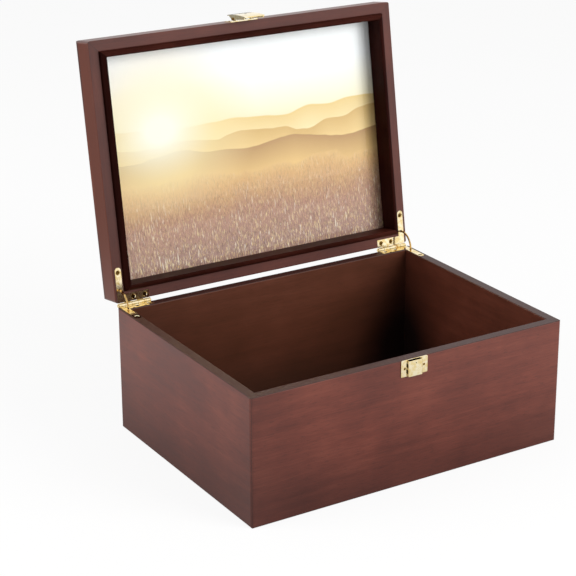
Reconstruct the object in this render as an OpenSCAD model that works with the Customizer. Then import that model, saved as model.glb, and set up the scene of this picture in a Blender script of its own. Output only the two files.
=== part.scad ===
// Keepsake box with a picture framed in its hinged lid.
// Millimetres, +Z up, the floor is z = 0 and the origin is the middle of the body's footprint.
// The front with the catch is at -Y, the hinges are at +Y, and the lid is drawn open.

/* [Body] */
// Width along the front
box_w = 300; // [240:1:400]
// Depth from front to back
box_d = 222; // [180:1:300]
// Height of the body up to its rim
body_h = 110; // [70:0.1:160]
// Thickness of the body's boards
wall_t = 9; // [8.6:0.1:9.2]
// Thickness of the bottom panel
bottom_t = 5; // [3:0.1:8]
// Width of the rabbet in the boards that takes the bottom panel
rabbet_w = 4; // [2:0.1:5]
// Play around the bottom panel in its rabbet
bottom_play = 0.1; // [0.1:0.1:0.4]

/* [Edges] */
// Radius of the four upright corners
corner_r = 2.5; // [1:0.1:6]
// Radius of the body's edges at the floor
foot_r = 1.5; // [0.5:0.1:4]
// Radius of the arrises where lid and body meet
rim_r = 0.8; // [0.3:0.1:1.5]
// Radius of the lid's top edges
lid_top_r = 4; // [1:0.1:5.5]
// Chamfer on the inner arrises
arris = 0.6; // [0.3:0.1:1]

/* [Lid] */
// Height of the lid without its lip
lid_h = 24.9; // [23.5:0.1:40]
// Gap between lid and body when the box is shut
seam_gap = 0.5; // [0.3:0.1:0.8]
// How far the lid is drawn open, in degrees
lid_open = 99; // [80:1:105]
// Thickness of the lid's rails
rail_t = 9.6; // [9.6:0.1:12]
// Thickness of the lid's top board
top_t = 6; // [4:0.1:7]
// Thickness of the lip boards inside the rails
lip_t = 4.8; // [4.4:0.1:8]
// How far the lip boards stand out of the rim
lip_proud = 4.5; // [3.8:0.1:6]
// Radius of the lip's outer edge, which leads it into the body
lip_r = 3.4; // [1:0.1:3.6]

/* [Picture] */
// Thickness of the clear pane
pane_t = 1.8; // [1:0.1:3]
// Thickness of the print
print_t = 0.3; // [0.2:0.1:0.5]
// Thickness of the backing board
backing_t = 1.9; // [1:0.1:3]
// Play around pane, print and backing in the lid
picture_play = 0.4; // [0.2:0.1:0.8]
// Air between the pane and the print
print_gap = 0.1; // [0.1:0.1:0.5]

/* [Hinges] */
// Thickness of the hinge leaves, let in flush
leaf_t = 1.2; // [0.8:0.1:1.6]
// Distance of the leaves from the side face
leaf_inset = 2.3; // [2:0.1:2.6]
// Length of the arm and knuckles along the rear edge
rear_arm_l = 29.7; // [26:0.1:40]
// Width of the arm along the rear edge
rear_arm_w = 7; // [6:0.1:8]
// Length of the arm along the side
side_arm_l = 30.5; // [28:0.1:40]
// Width of the arm along the side
side_arm_w = 5.7; // [5.5:0.1:6]
// Radius of the knuckles
knuckle_r = 2; // [1.8:0.1:2.6]
// Gap between the knuckles and the rear face
knuckle_gap = 0.3; // [0.3:0.1:0.6]
// Number of knuckles on each hinge
knuckle_n = 5; // [3:2:7]
// Radius of the hinge pin
hinge_pin_r = 1; // [0.8:0.1:1.2]
// Radius of the countersinks for the screws
sink_r = 2.1; // [1.8:0.1:2.3]
// How far the screw heads lie below the leaf's face
sink_d = 0.4; // [0.1:0.1:0.5]
// Radius of the screw shanks
screw_r = 1; // [0.8:0.1:1.2]
// Length of the screws below the leaf
screw_l = 8; // [5:0.1:12]

/* [Stays] */
// Middle radius of the curved stay about the hinge axis
stay_r = 13.3; // [12:0.1:14]
// Width of the stay's strip
stay_w = 1.5; // [1.2:0.1:2.4]
// Thickness of the stay's strip
stay_t = 1; // [0.8:0.1:1.2]
// How far the stay's heads stand out past its edges
stay_head = 1.2; // [0.8:0.1:1.4]
// Width of the slots routed for the stays
pocket_w = 3; // [2.6:0.1:3.4]

/* [Catch] */
// Thickness of the catch's sheet metal
sheet_t = 0.8; // [0.6:0.1:1]
// Width of the keeper's plate on the body
keeper_w = 25.5; // [24:0.1:32]
// Height of the keeper's plate
keeper_h = 14; // [13.6:0.1:20]
// Width of the keeper's boss
boss_w = 13.8; // [10:0.1:15]
// Height of the keeper's boss
boss_h = 13; // [11:0.1:13.4]
// How far the boss stands off the front
boss_e = 3.2; // [2.8:0.1:3.4]
// Width of the plate on the lid
lid_plate_w = 27; // [26:0.1:34]
// Height of the plate on the lid
lid_plate_h = 11.7; // [10:0.1:14]
// Width of the sprung flap
flap_w = 19.6; // [18:0.1:21]
// Height of the flap's crown above the front
flap_top_e = 6.2; // [6:0.1:7]
// Radius of the flap's arched sheet
flap_arch_r = 130; // [120:1:200]
// Height of the catch's pin above the lid's rim
catch_pin_w = 4; // [3.5:0.1:5]
// Distance of the catch's pin from the front
catch_pin_e = 2.6; // [2.6:0.1:3]
// Radius of the catch's pin
catch_pin_r = 0.75; // [0.6:0.05:0.9]
// Radius of the hole in the flap
flap_hole_r = 1.25; // [0.8:0.05:2]
// Radius of the spring's wire
wire_r = 0.25; // [0.2:0.05:0.3]
// Number of coils of the spring
coil_n = 14; // [6:1:16]
// Radius of the nails' heads
nail_head_r = 1.1; // [0.8:0.1:1.3]
// Radius of the nails' shanks
nail_r = 0.6; // [0.4:0.1:0.7]
// Length of the nails
nail_l = 6; // [4:0.1:7]

/* [Hidden] */
$fn = 48;
fine_fn = 192;
slip = 0.05;
nib = 0.1;
over = 1;
mitre_reach = 30;
half_w = box_w / 2;
half_d = box_d / 2;
inner_w = box_w - 2 * wall_t;
inner_d = box_d - 2 * wall_t;
lid_z = body_h + seam_gap;
rail_h = lid_h - top_t;
lid_in_w = box_w - 2 * rail_t;
lid_in_d = box_d - 2 * rail_t;
backing_z = lid_z + rail_h - backing_t;
print_z = backing_z - print_t;
pane_z = print_z - print_gap - pane_t;

hinge_y = half_d + knuckle_gap + knuckle_r;
hinge_z = body_h + seam_gap / 2;
knuckle_side = 0.3;
knuckle_l = (rear_arm_l - (knuckle_n - 1) * knuckle_side) / knuckle_n;
leaf_x = half_w - leaf_inset;
side_arm_x = leaf_x - side_arm_w / 2;
side_arm_y = half_d - side_arm_l + side_arm_w / 2;
side_screw_end = 4.5;
rear_screw_end = 4;
side_screw_y = half_d - side_arm_l + side_screw_end;
rear_screw_y = half_d - rear_arm_w / 2;
rear_screws_x = [leaf_x - rear_arm_l / 2, leaf_x - rear_arm_l + rear_screw_end];
point_l = 2;
head_t = leaf_t - sink_d;
head_r = screw_r + (sink_r - screw_r) * head_t / leaf_t;
recess_w = 0.5;
recess_d = 0.6;

stay_in_r = stay_r - stay_w / 2;
stay_out_r = stay_r + stay_w / 2;
stay_x = side_arm_x + 0.3;
slot_play = 0.4;
head_play = 0.3;
head_deg = 4.5;
leaf_deg = asin((seam_gap / 2 + leaf_t + head_play) / (stay_in_r - stay_head));
stay_end_deg = leaf_deg + head_deg;
stay_half_deg = lid_open / 2 + stay_end_deg;
pocket_front = stay_out_r + stay_head + 0.5;
pocket_back = (stay_in_r - stay_head) * cos(stay_half_deg) - 0.5;
pocket_deep = (stay_out_r + stay_head) * sin(stay_half_deg) + 0.8;

plate_r = 0.8;
boss_r = 1.2;
keeper_z = body_h - 0.3 - keeper_h;
boss_z = keeper_z + 0.1;
boss_window = [1.1, 3.2];
dimple_r = 0.45;
keeper_nail_x = (boss_w + keeper_w) / 4 - 0.5;
lid_plate_z = 0.8;
lid_nail_x = (flap_w + lid_plate_w) / 4 + 0.1;
nail_head_t = 0.25;
hook_z = boss_z - 0.5 - lid_z;
hook_e = boss_e + 0.3;
hook_tip = 0.5;
hook_x = boss_w / 2 - 1.5;
flap_below_hook = 2.1;
flap_low_z = hook_z - flap_below_hook;
flap_high_z = 13;
flap_crown_z = 3;
flap_hole_z = -2;
cheek_low = [hook_z - 0.7, 2.4];
cheek_high = [9.5, 4.2];
eye_r = catch_pin_e - sheet_t - 0.3;
ear_x = flap_w / 2 - sheet_t - 0.6;
rivet_r = catch_pin_r + 0.4;
rivet_t = 0.5;
coil_r = catch_pin_r + nib + wire_r;
coil_pitch = 1.92 * wire_r;
coil_l = (coil_n - 1) * coil_pitch;
spring_leg_l = 3.4;
spring_leg_r = 0.9 * wire_r;

// The arched sheet's outer surface at height z on the lid
function arch(z) = flap_top_e - flap_arch_r + sqrt(pow(flap_arch_r, 2) - pow(z - flap_crown_z, 2));

// Rectangle about the origin with round corners
module round_rect(w, d, r) {
    square([w - 2 * r, d], center = true);
    square([w, d - 2 * r], center = true);
    for (sx = [-1, 1])
        for (sy = [-1, 1])
            translate([sx * (w / 2 - r), sy * (d / 2 - r)])
                circle(r = r);
}

// Upright section, w wide and h high, with round corners above and below
module section(w, h, r_top, r_low) {
    translate([-w / 2, r_low])
        square([w, h - r_top - r_low]);
    translate([-w / 2 + r_low, 0])
        square([w - 2 * r_low, h / 2]);
    translate([-w / 2 + r_top, h / 2])
        square([w - 2 * r_top, h / 2]);
    for (s = [-1, 1]) {
        translate([s * (w / 2 - r_low), r_low])
            circle(r = r_low);
        translate([s * (w / 2 - r_top), h - r_top])
            circle(r = r_top);
    }
}

// Block of the box's plan with round upright corners, standing on z = 0
module plan_block(h) {
    linear_extrude(height = h)
        round_rect(box_w, box_d, corner_r);
}

// Plan block with eased edges above and below
module eased_block(h, r_top, r_low) {
    intersection() {
        plan_block(h);
        rotate([90, 0, 0])
            linear_extrude(height = box_d + 2 * over, center = true)
                section(box_w, h, r_top, r_low);
        rotate([90, 0, 90])
            linear_extrude(height = box_w + 2 * over, center = true)
                section(box_d, h, r_top, r_low);
    }
}

// Panel about the middle, from z0 to z1
module panel(w, d, z0, z1) {
    translate([-w / 2, -d / 2, z0])
        cube([w, d, z1 - z0]);
}

// Prism over one mitred side of the box: 0 front, 1 right, 2 rear, 3 left
module mitre(side, z0, z1) {
    a = half_w + over;
    b = half_d + over;
    outer = [[-a, -b], [a, -b], [a, b], [-a, b]];
    inner = [for (p = outer) [p[0] - sign(p[0]) * mitre_reach, p[1] - sign(p[1]) * mitre_reach]];
    next = (side + 1) % 4;
    translate([0, 0, z0])
        linear_extrude(height = z1 - z0)
            polygon([outer[side], outer[next], inner[next], inner[side]]);
}

// Runs a profile, drawn as distance inward from the face and height, along one side
module run(side) {
    if (side == 0)
        translate([0, -half_d, 0])
            rotate([90, 0, 90])
                linear_extrude(height = box_w + 2 * over, center = true)
                    children();
    if (side == 1)
        mirror([1, 0, 0])
            run(3)
                children();
    if (side == 2)
        mirror([0, 1, 0])
            run(0)
                children();
    if (side == 3)
        translate([-half_w, 0, 0])
            rotate([90, 0, 0])
                linear_extrude(height = box_d + 2 * over, center = true)
                    children();
}

// Draws the right side's shape there (s = 1) or on the left (s = -1)
module on_side(s) {
    if (s > 0)
        children();
    else
        mirror([1, 0, 0])
            children();
}

// Turns what is drawn shut about the hinge axis to the open lid
module lid_pose() {
    translate([0, hinge_y, hinge_z])
        rotate([-lid_open, 0, 0])
            translate([0, -hinge_y, -hinge_z])
                children();
}

// Outline of the right hinge's leaves, grown by g
module leaf_outline(g) {
    translate([leaf_x - rear_arm_l - g, half_d - rear_arm_w - g])
        square([rear_arm_l + 2 * g, rear_arm_w + g]);
    translate([leaf_x - side_arm_w - g, side_arm_y])
        square([side_arm_w + 2 * g, half_d - side_arm_y]);
    translate([side_arm_x, side_arm_y])
        circle(r = side_arm_w / 2 + g);
}

// Mortise for a leaf from z0 to z1, open at the rear face
module leaf_mortise(z0, z1) {
    translate([0, 0, z0])
        linear_extrude(height = z1 - z0)
            union() {
                leaf_outline(nib);
                translate([leaf_x - rear_arm_l - nib, half_d - over])
                    square([rear_arm_l + 2 * nib, 2 * over]);
            }
}

// Slot routed for the right stay from z0 to z1
module stay_pocket(z0, z1) {
    translate([stay_x - pocket_w / 2, hinge_y - pocket_front, z0])
        cube([pocket_w, pocket_front - pocket_back, z1 - z0]);
}

// Places of the right hinge's three screws in one leaf
module at_screws() {
    translate([side_arm_x, side_screw_y, 0])
        children();
    for (x = rear_screws_x)
        translate([x, rear_screw_y, 0])
            children();
}

// What both hinges take out of the body's boards
module body_hinge_cuts() {
    for (s = [-1, 1])
        on_side(s) {
            leaf_mortise(body_h - leaf_t, body_h + over);
            stay_pocket(hinge_z - pocket_deep, body_h + over);
            at_screws()
                translate([0, 0, body_h - leaf_t - screw_l - nib])
                    cylinder(r = screw_r + slip, h = screw_l + leaf_t);
        }
}

// What both hinges take out of the lid's rails, drawn shut
module lid_hinge_cuts() {
    for (s = [-1, 1])
        on_side(s) {
            leaf_mortise(lid_z - over, lid_z + leaf_t);
            stay_pocket(lid_z - over, hinge_z + pocket_deep);
            at_screws()
                translate([0, 0, lid_z])
                    cylinder(r = screw_r + slip, h = leaf_t + screw_l + nib);
        }
}

// Holes for two nails in the front, at x and -x and height z
module nail_holes(x, z) {
    for (s = [-1, 1])
        translate([s * x, -half_d + nail_l + nib, z])
            rotate([90, 0, 0])
                cylinder(r = nail_r + slip, h = nail_l + 2 * over);
}

// One board of the body
module body_board(side) {
    difference() {
        intersection() {
            plan_block(body_h);
            run(side)
                intersection() {
                    translate([half_d, 0])
                        section(box_d, body_h, rim_r, foot_r);
                    polygon([[-over, -over], [wall_t - rabbet_w, -over], [wall_t - rabbet_w, bottom_t],
                        [wall_t, bottom_t], [wall_t, body_h - arris],
                        [wall_t - arris - over, body_h + over], [-over, body_h + over]]);
                }
            mitre(side, -over, body_h + over);
        }
        if (side == 0)
            nail_holes(keeper_nail_x, keeper_z + keeper_h / 2);
        else
            body_hinge_cuts();
    }
}

// One rail of the lid, drawn shut
module lid_rail(side) {
    low = lid_z - over;
    difference() {
        intersection() {
            translate([0, 0, lid_z])
                plan_block(lid_h);
            run(side)
                intersection() {
                    translate([half_d, lid_z])
                        section(box_d, lid_h, lid_top_r, rim_r);
                    polygon([[-over, low], [rail_t - arris - over, low], [rail_t, lid_z + arris],
                        [rail_t, lid_z + rail_h], [-over, lid_z + rail_h]]);
                }
            mitre(side, low, lid_z + lid_h);
        }
        if (side == 0)
            nail_holes(lid_nail_x, lid_z + lid_plate_z + lid_plate_h / 2);
        else
            lid_hinge_cuts();
    }
}

// Top board of the lid with its rounded edges, drawn shut
module lid_board() {
    intersection() {
        translate([0, 0, lid_z])
            eased_block(lid_h, lid_top_r, rim_r);
        panel(box_w + 2 * over, box_d + 2 * over, lid_z + rail_h, lid_z + lid_h + over);
    }
}

// One mitred board of the lip that holds the pane and enters the body, drawn shut
module lip_board(side) {
    low = lid_z - lip_proud;
    in = rail_t + lip_t;
    intersection() {
        run(side)
            difference() {
                polygon([[rail_t, low], [in - arris, low], [in, low + arris], [in, pane_z],
                    [rail_t, pane_z]]);
                difference() {
                    translate([rail_t - over, low - over])
                        square(lip_r + over);
                    translate([rail_t + lip_r, low + lip_r])
                        circle(r = lip_r);
                }
            }
        mitre(side, low - over, lid_z + lid_h);
    }
}

// Sheet held behind the lip, drawn shut
module framed(z0, z1) {
    panel(lid_in_w - 2 * picture_play, lid_in_d - 2 * picture_play, z0, z1);
}

// Right hinge leaf with its upper face at z0 + leaf_t, carrying every second knuckle from first on
module leaf(z0, first) {
    difference() {
        union() {
            translate([0, 0, z0])
                linear_extrude(height = leaf_t)
                    leaf_outline(0);
            for (i = [first:2:knuckle_n - 1])
                translate([leaf_x - rear_arm_l + i * (knuckle_l + knuckle_side), 0, 0]) {
                    translate([0, half_d - over, z0])
                        cube([knuckle_l, over + hinge_y - half_d, leaf_t]);
                    translate([0, hinge_y, hinge_z])
                        rotate([0, 90, 0])
                            cylinder(r = knuckle_r, h = knuckle_l);
                }
        }
        translate([leaf_x - rear_arm_l - over, hinge_y, hinge_z])
            rotate([0, 90, 0])
                cylinder(r = hinge_pin_r + slip, h = rear_arm_l + 2 * over);
        translate([stay_x - stay_t / 2 - slot_play, hinge_y - stay_out_r - slot_play, z0 - over])
            cube([stay_t + 2 * slot_play, stay_w + 2 * slot_play, leaf_t + 2 * over]);
    }
}

// Leaf on the body, countersunk from above
module body_leaf(s) {
    on_side(s)
        difference() {
            leaf(body_h - leaf_t, 0);
            at_screws()
                translate([0, 0, body_h - leaf_t])
                    countersink();
        }
}

// Leaf in the lid's rim, countersunk from the rim, drawn shut
module lid_leaf(s) {
    on_side(s)
        difference() {
            leaf(lid_z, 1);
            at_screws()
                translate([0, 0, lid_z + leaf_t])
                    mirror([0, 0, 1])
                        countersink();
        }
}

// Countersink through a leaf, wide end at leaf_t
module countersink() {
    cylinder(r1 = screw_r + slip, r2 = sink_r + slip, h = leaf_t);
}

// Countersunk screw with a cross recess, its head's top at head_t
module screw() {
    difference() {
        union() {
            cylinder(r1 = screw_r, r2 = head_r, h = head_t);
            translate([0, 0, -screw_l + point_l])
                cylinder(r = screw_r, h = screw_l - point_l + head_t / 2);
            translate([0, 0, -screw_l])
                cylinder(r1 = screw_r / 4, r2 = screw_r, h = point_l);
        }
        for (a = [0, 90])
            rotate([0, 0, a])
                translate([-head_r * 0.65, -recess_w / 2, head_t - recess_d])
                    cube([head_r * 1.3, recess_w, recess_d + over]);
    }
}

// Hinge pin with peened ends, on the right side
module hinge_pin(s) {
    peen = hinge_pin_r * 0.35;
    on_side(s)
        translate([leaf_x - rear_arm_l - knuckle_side, hinge_y, hinge_z])
            rotate([0, 90, 0]) {
                cylinder(r = hinge_pin_r, h = rear_arm_l + 2 * knuckle_side);
                translate([0, 0, -peen])
                    cylinder(r = hinge_pin_r + peen, h = peen);
                translate([0, 0, rear_arm_l + 2 * knuckle_side])
                    cylinder(r = hinge_pin_r + peen, h = peen);
            }
}

// Arc about the hinge axis between two radii, from one angle above the rim to another
module arc(r0, r1, from_deg, to_deg) {
    multmatrix([[0, 0, -1, stay_x], [-1, 0, 0, hinge_y], [0, 1, 0, hinge_z], [0, 0, 0, 1]])
        rotate([0, 0, from_deg])
            rotate_extrude(angle = to_deg - from_deg, $fn = fine_fn)
                translate([r0, -stay_t / 2])
                    square([r1 - r0, stay_t]);
}

// Curved stay that slides through both leaves, its heads stopping the lid
module stay(s) {
    low = -stay_end_deg;
    high = lid_open + stay_end_deg;
    on_side(s) {
        arc(stay_in_r, stay_out_r, low, high);
        arc(stay_in_r - stay_head, stay_out_r + stay_head, low, low + head_deg);
        arc(stay_in_r - stay_head, stay_out_r + stay_head, high - head_deg, high);
    }
}

// Draws on the front face: x along it, y upward from z0, z outward
module on_front(z0) {
    translate([0, -half_d, z0])
        rotate([90, 0, 0])
            children();
}

// Extrudes a profile of height on the lid and distance off the front from x0 to x1
module across(x0, x1) {
    multmatrix([[0, 0, 1, x0], [0, -1, 0, -half_d], [1, 0, 0, lid_z], [0, 0, 0, 1]])
        linear_extrude(height = x1 - x0)
            children();
}

// Nails through a plate on the front, at x and -x
module nails(x) {
    for (s = [-1, 1])
        translate([s * x, 0, -nail_l]) {
            cylinder(r = nail_r, h = nail_l + sheet_t + nail_head_t / 2);
            translate([0, 0, nail_l + sheet_t])
                cylinder(r1 = nail_head_r, r2 = nail_head_r * 0.7, h = nail_head_t);
        }
}

// Plate on the front with its two nail holes
module nailed_plate(w, h, x) {
    difference() {
        translate([0, h / 2, 0])
            linear_extrude(height = sheet_t)
                round_rect(w, h, plate_r);
        for (s = [-1, 1])
            translate([s * x, h / 2, -over])
                cylinder(r = nail_r + slip, h = sheet_t + 2 * over);
    }
}

// Plan of the keeper's boss: a folded channel standing on its plate
module boss_plan() {
    difference() {
        union() {
            translate([-boss_w / 2, 0])
                square([boss_w, boss_e - boss_r]);
            translate([-boss_w / 2 + boss_r, 0])
                square([boss_w - 2 * boss_r, boss_e]);
            for (s = [-1, 1])
                translate([s * (boss_w / 2 - boss_r), boss_e - boss_r])
                    circle(r = boss_r);
        }
        translate([-boss_w / 2 + sheet_t, -over])
            square([boss_w - 2 * sheet_t, boss_e - sheet_t + over]);
    }
}

// Keeper on the body that the flap's hook goes under
module keeper() {
    boss_y = boss_z - keeper_z;
    on_front(keeper_z) {
        nailed_plate(keeper_w, keeper_h, keeper_nail_x);
        difference() {
            translate([0, boss_y + boss_h, 0])
                rotate([90, 0, 0])
                    linear_extrude(height = boss_h)
                        boss_plan();
            for (k = [0.3, 0.7])
                translate([-boss_w, boss_y + k * boss_h - boss_window[1] / 2, sheet_t + 0.2])
                    cube([2 * boss_w, boss_window[1], boss_window[0]]);
            translate([0, boss_y + boss_h - 2, sheet_t])
                cylinder(r = dimple_r, h = boss_e);
        }
    }
}

// Plate on the lid with the two ears that hold the catch's pin, drawn shut
module catch_base() {
    on_front(lid_z + lid_plate_z)
        nailed_plate(lid_plate_w, lid_plate_h, lid_nail_x);
    for (s = [-1, 1])
        on_side(s)
            across(ear_x - sheet_t, ear_x)
                difference() {
                    union() {
                        translate([catch_pin_w - eye_r, sheet_t / 2])
                            square([2 * eye_r, catch_pin_e - sheet_t / 2]);
                        translate([catch_pin_w, catch_pin_e])
                            circle(r = eye_r);
                    }
                    translate([catch_pin_w, catch_pin_e])
                        circle(r = catch_pin_r + slip);
                }
}

// Arched section of the flap's sheet
module flap_sheet() {
    intersection() {
        translate([flap_crown_z, flap_top_e - flap_arch_r])
            difference() {
                circle(r = flap_arch_r, $fn = fine_fn);
                circle(r = flap_arch_r - sheet_t, $fn = fine_fn);
            }
        translate([flap_low_z, 0])
            square([flap_high_z - flap_low_z, 2 * flap_top_e]);
    }
}

// One cheek of the flap with the eye for the pin
module flap_cheek() {
    difference() {
        intersection() {
            translate([flap_crown_z, flap_top_e - flap_arch_r])
                circle(r = flap_arch_r, $fn = fine_fn);
            union() {
                polygon([cheek_low, [catch_pin_w - eye_r, catch_pin_e - eye_r / 2],
                    [catch_pin_w + eye_r, catch_pin_e - eye_r / 2], cheek_high,
                    [cheek_high[0], flap_top_e + over], [cheek_low[0], flap_top_e + over]]);
                translate([catch_pin_w, catch_pin_e])
                    circle(r = eye_r);
            }
        }
        translate([catch_pin_w, catch_pin_e])
            circle(r = catch_pin_r + slip);
    }
}

// Sprung flap with its cheeks and the hook that goes under the keeper, drawn shut
module flap() {
    difference() {
        union() {
            across(-flap_w / 2, flap_w / 2)
                flap_sheet();
            for (s = [-1, 1])
                on_side(s)
                    across(flap_w / 2 - sheet_t, flap_w / 2)
                        flap_cheek();
            across(-hook_x, hook_x)
                polygon([[hook_z, arch(hook_z) - sheet_t / 2], [hook_z, hook_e],
                    [hook_z - hook_tip, hook_e], [flap_low_z, arch(flap_low_z) - sheet_t],
                    [flap_low_z, arch(flap_low_z) - sheet_t / 2]]);
        }
        on_front(lid_z + flap_hole_z)
            cylinder(r = flap_hole_r, h = 2 * flap_top_e);
    }
}

// Catch's pin with its riveted ends, drawn shut
module catch_pin() {
    half_l = flap_w / 2 + 0.3;
    translate([-half_l, -half_d - catch_pin_e, lid_z + catch_pin_w])
        rotate([0, 90, 0]) {
            cylinder(r = catch_pin_r, h = 2 * half_l);
            translate([0, 0, -rivet_t])
                cylinder(r = rivet_r, h = rivet_t);
            translate([0, 0, 2 * half_l])
                cylinder(r = rivet_r, h = rivet_t);
        }
}

// Coiled spring on the pin with one leg toward the plate and one toward the flap, drawn shut
module spring() {
    translate([-coil_l / 2, -half_d - catch_pin_e, lid_z + catch_pin_w]) {
        rotate([0, 90, 0])
            rotate_extrude()
                for (i = [0:coil_n - 1])
                    translate([coil_r, i * coil_pitch])
                        circle(r = wire_r, $fn = 24);
        translate([0, coil_r, -spring_leg_l])
            cylinder(r = spring_leg_r, h = spring_leg_l, $fn = 24);
        translate([coil_l, -coil_r, 0])
            cylinder(r = spring_leg_r, h = spring_leg_l, $fn = 24);
    }
}

color("sienna") body_board(0);  // body_front
color("sienna") body_board(1);  // body_right
color("saddlebrown") body_board(2);  // body_rear
color("peru") body_board(3);  // body_left
color("tan")  // body_bottom
        panel(inner_w + 2 * (rabbet_w - bottom_play), inner_d + 2 * (rabbet_w - bottom_play), 0, bottom_t);
color("sienna") lid_pose() lid_rail(0);  // lid_front
color("sienna") lid_pose() lid_rail(1);  // lid_right
color("saddlebrown") lid_pose() lid_rail(2);  // lid_rear
color("peru") lid_pose() lid_rail(3);  // lid_left
color("chocolate") lid_pose() lid_board();  // lid_top
color("maroon") lid_pose() lip_board(0);  // lip_front
color("maroon") lid_pose() lip_board(1);  // lip_right
color("maroon") lid_pose() lip_board(2);  // lip_rear
color("maroon") lid_pose() lip_board(3);  // lip_left
color("lightcyan") lid_pose() framed(pane_z, pane_z + pane_t);  // pane
color("khaki") lid_pose() framed(print_z, backing_z);  // print
color("gray") lid_pose() framed(backing_z, lid_z + rail_h);  // backing_board
color("gold") body_leaf(-1);  // hinge_body_leaf_l
color("gold") body_leaf(1);  // hinge_body_leaf_r
color("goldenrod") lid_pose() lid_leaf(-1);  // hinge_lid_leaf_l
color("goldenrod") lid_pose() lid_leaf(1);  // hinge_lid_leaf_r
color("silver") hinge_pin(-1);  // hinge_pin_l
color("silver") hinge_pin(1);  // hinge_pin_r
color("orange") stay(-1);  // stay_l
color("orange") stay(1);  // stay_r
color("darkgoldenrod")  // hinge_body_screws
        for (s = [-1, 1])
            on_side(s)
                at_screws()
                    translate([0, 0, body_h - leaf_t])
                        screw();
color("darkgoldenrod")  // hinge_lid_screws
        lid_pose()
            for (s = [-1, 1])
                on_side(s)
                    at_screws()
                        translate([0, 0, lid_z + leaf_t])
                            mirror([0, 0, 1])
                                screw();
color("gold") keeper();  // catch_keeper
color("orange")  // keeper_nails
        on_front(keeper_z + keeper_h / 2)
            nails(keeper_nail_x);
color("goldenrod") lid_pose() catch_base();
color("orange")  // catch_nails
        lid_pose()
            on_front(lid_z + lid_plate_z + lid_plate_h / 2)
                nails(lid_nail_x);
color("gold") lid_pose() flap();  // catch_flap
color("silver") lid_pose() catch_pin();
color("silver") lid_pose() spring();  // catch_spring
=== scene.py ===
"""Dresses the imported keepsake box: wood, brass, pane, print and inlay, with floor, light and camera."""

import logging
import math
from collections.abc import Mapping
from dataclasses import dataclass
from enum import Enum

import bpy
from bpy.types import Material, Node, NodeOutputs, NodeSocket, NodeTree
from mathutils import Euler, Matrix, Vector


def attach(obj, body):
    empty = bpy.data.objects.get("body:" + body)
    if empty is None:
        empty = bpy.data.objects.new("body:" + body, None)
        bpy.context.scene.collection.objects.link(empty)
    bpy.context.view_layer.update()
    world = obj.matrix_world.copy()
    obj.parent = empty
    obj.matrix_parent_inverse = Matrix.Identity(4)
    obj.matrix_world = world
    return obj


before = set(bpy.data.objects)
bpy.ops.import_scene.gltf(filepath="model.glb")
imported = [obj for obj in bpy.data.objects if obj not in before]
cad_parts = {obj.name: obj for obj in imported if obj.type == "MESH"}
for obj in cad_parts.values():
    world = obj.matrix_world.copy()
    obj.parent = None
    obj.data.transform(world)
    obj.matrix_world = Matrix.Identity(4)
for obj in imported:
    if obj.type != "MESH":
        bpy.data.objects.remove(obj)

logging.basicConfig(level=logging.INFO, format="%(message)s")
log = logging.getLogger("keepsake_box")

MM = 0.001
FACE_NEAR = 0.35 * MM  # how near a face a point counts as on it
HINGE = Vector((0.0, 113.3, 110.25)) * MM  # a point on the lid's hinge axis
LID_OPEN = math.radians(99.0)  # how far the lid stands open
WHITE = (1.0, 1.0, 1.0, 1.0)

Colour = tuple[float, float, float, float]
Source = Node | NodeSocket  # what can feed a node's input


def linear(code: str) -> Colour:
    """Turns an sRGB hex colour to linear light.

    Args:
        code: The colour as "#RRGGBB".

    Returns:
        Red, green, blue and an alpha of 1.
    """
    channels = [int(code[i : i + 2], 16) / 255 for i in (1, 3, 5)]
    red, green, blue = (c / 12.92 if c <= 0.04045 else ((c + 0.055) / 1.055) ** 2.4 for c in channels)
    return red, green, blue, 1.0


def add_node(
    tree: NodeTree,
    kind: str,
    inputs: Mapping[str | int, object] | None = None,
    stops: tuple[tuple[float, str], ...] = (),
    **settings: object,
) -> Node:
    """Adds a node with its settings and links.

    Args:
        tree: The node tree that gets it.
        kind: The node's type.
        inputs: Per input, a plain value, an output socket, or a node whose first live output is linked.
        stops: A colour ramp's places and hex colours, from left to right.
        **settings: Attributes of the node.

    Returns:
        The new node.
    """
    node = tree.nodes.new(kind)
    for name, value in settings.items():
        setattr(node, name, value)
    for key, value in (inputs or {}).items():
        if isinstance(value, Node):
            value = next(output for output in value.outputs if output.enabled)
        if isinstance(value, NodeSocket):
            tree.links.new(value, node.inputs[key])
        else:
            node.inputs[key].default_value = value
    if stops:
        elements = node.color_ramp.elements
        elements[0].position, elements[-1].position = stops[0][0], stops[-1][0]
        for place, _ in stops[1:-1]:
            elements.new(place)
        for element, (_, code) in zip(elements, stops):
            element.color = linear(code)
    return node


@dataclass(frozen=True)
class Finish:
    """A finish, named for its material and for how its surface was made."""

    name: str

    def material(self) -> Material:
        """Builds the node material.

        Returns:
            The finished material.
        """
        made = bpy.data.materials.new(self.name)
        made.use_nodes = True
        made.node_tree.nodes.clear()
        add_node(made.node_tree, "ShaderNodeOutputMaterial", {"Surface": self.shader(made.node_tree)})
        return made

    def shader(self, tree: NodeTree) -> Node:
        """Draws the patterns and shades them.

        Args:
            tree: The material's node tree.

        Returns:
            The shader's node.
        """
        raise NotImplementedError


class Grain(Enum):
    """Which way a board's grain runs, as the turn about Z that lays it along X."""

    ACROSS_THE_FRONT = 0.0
    FRONT_TO_BACK = -90.0


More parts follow.
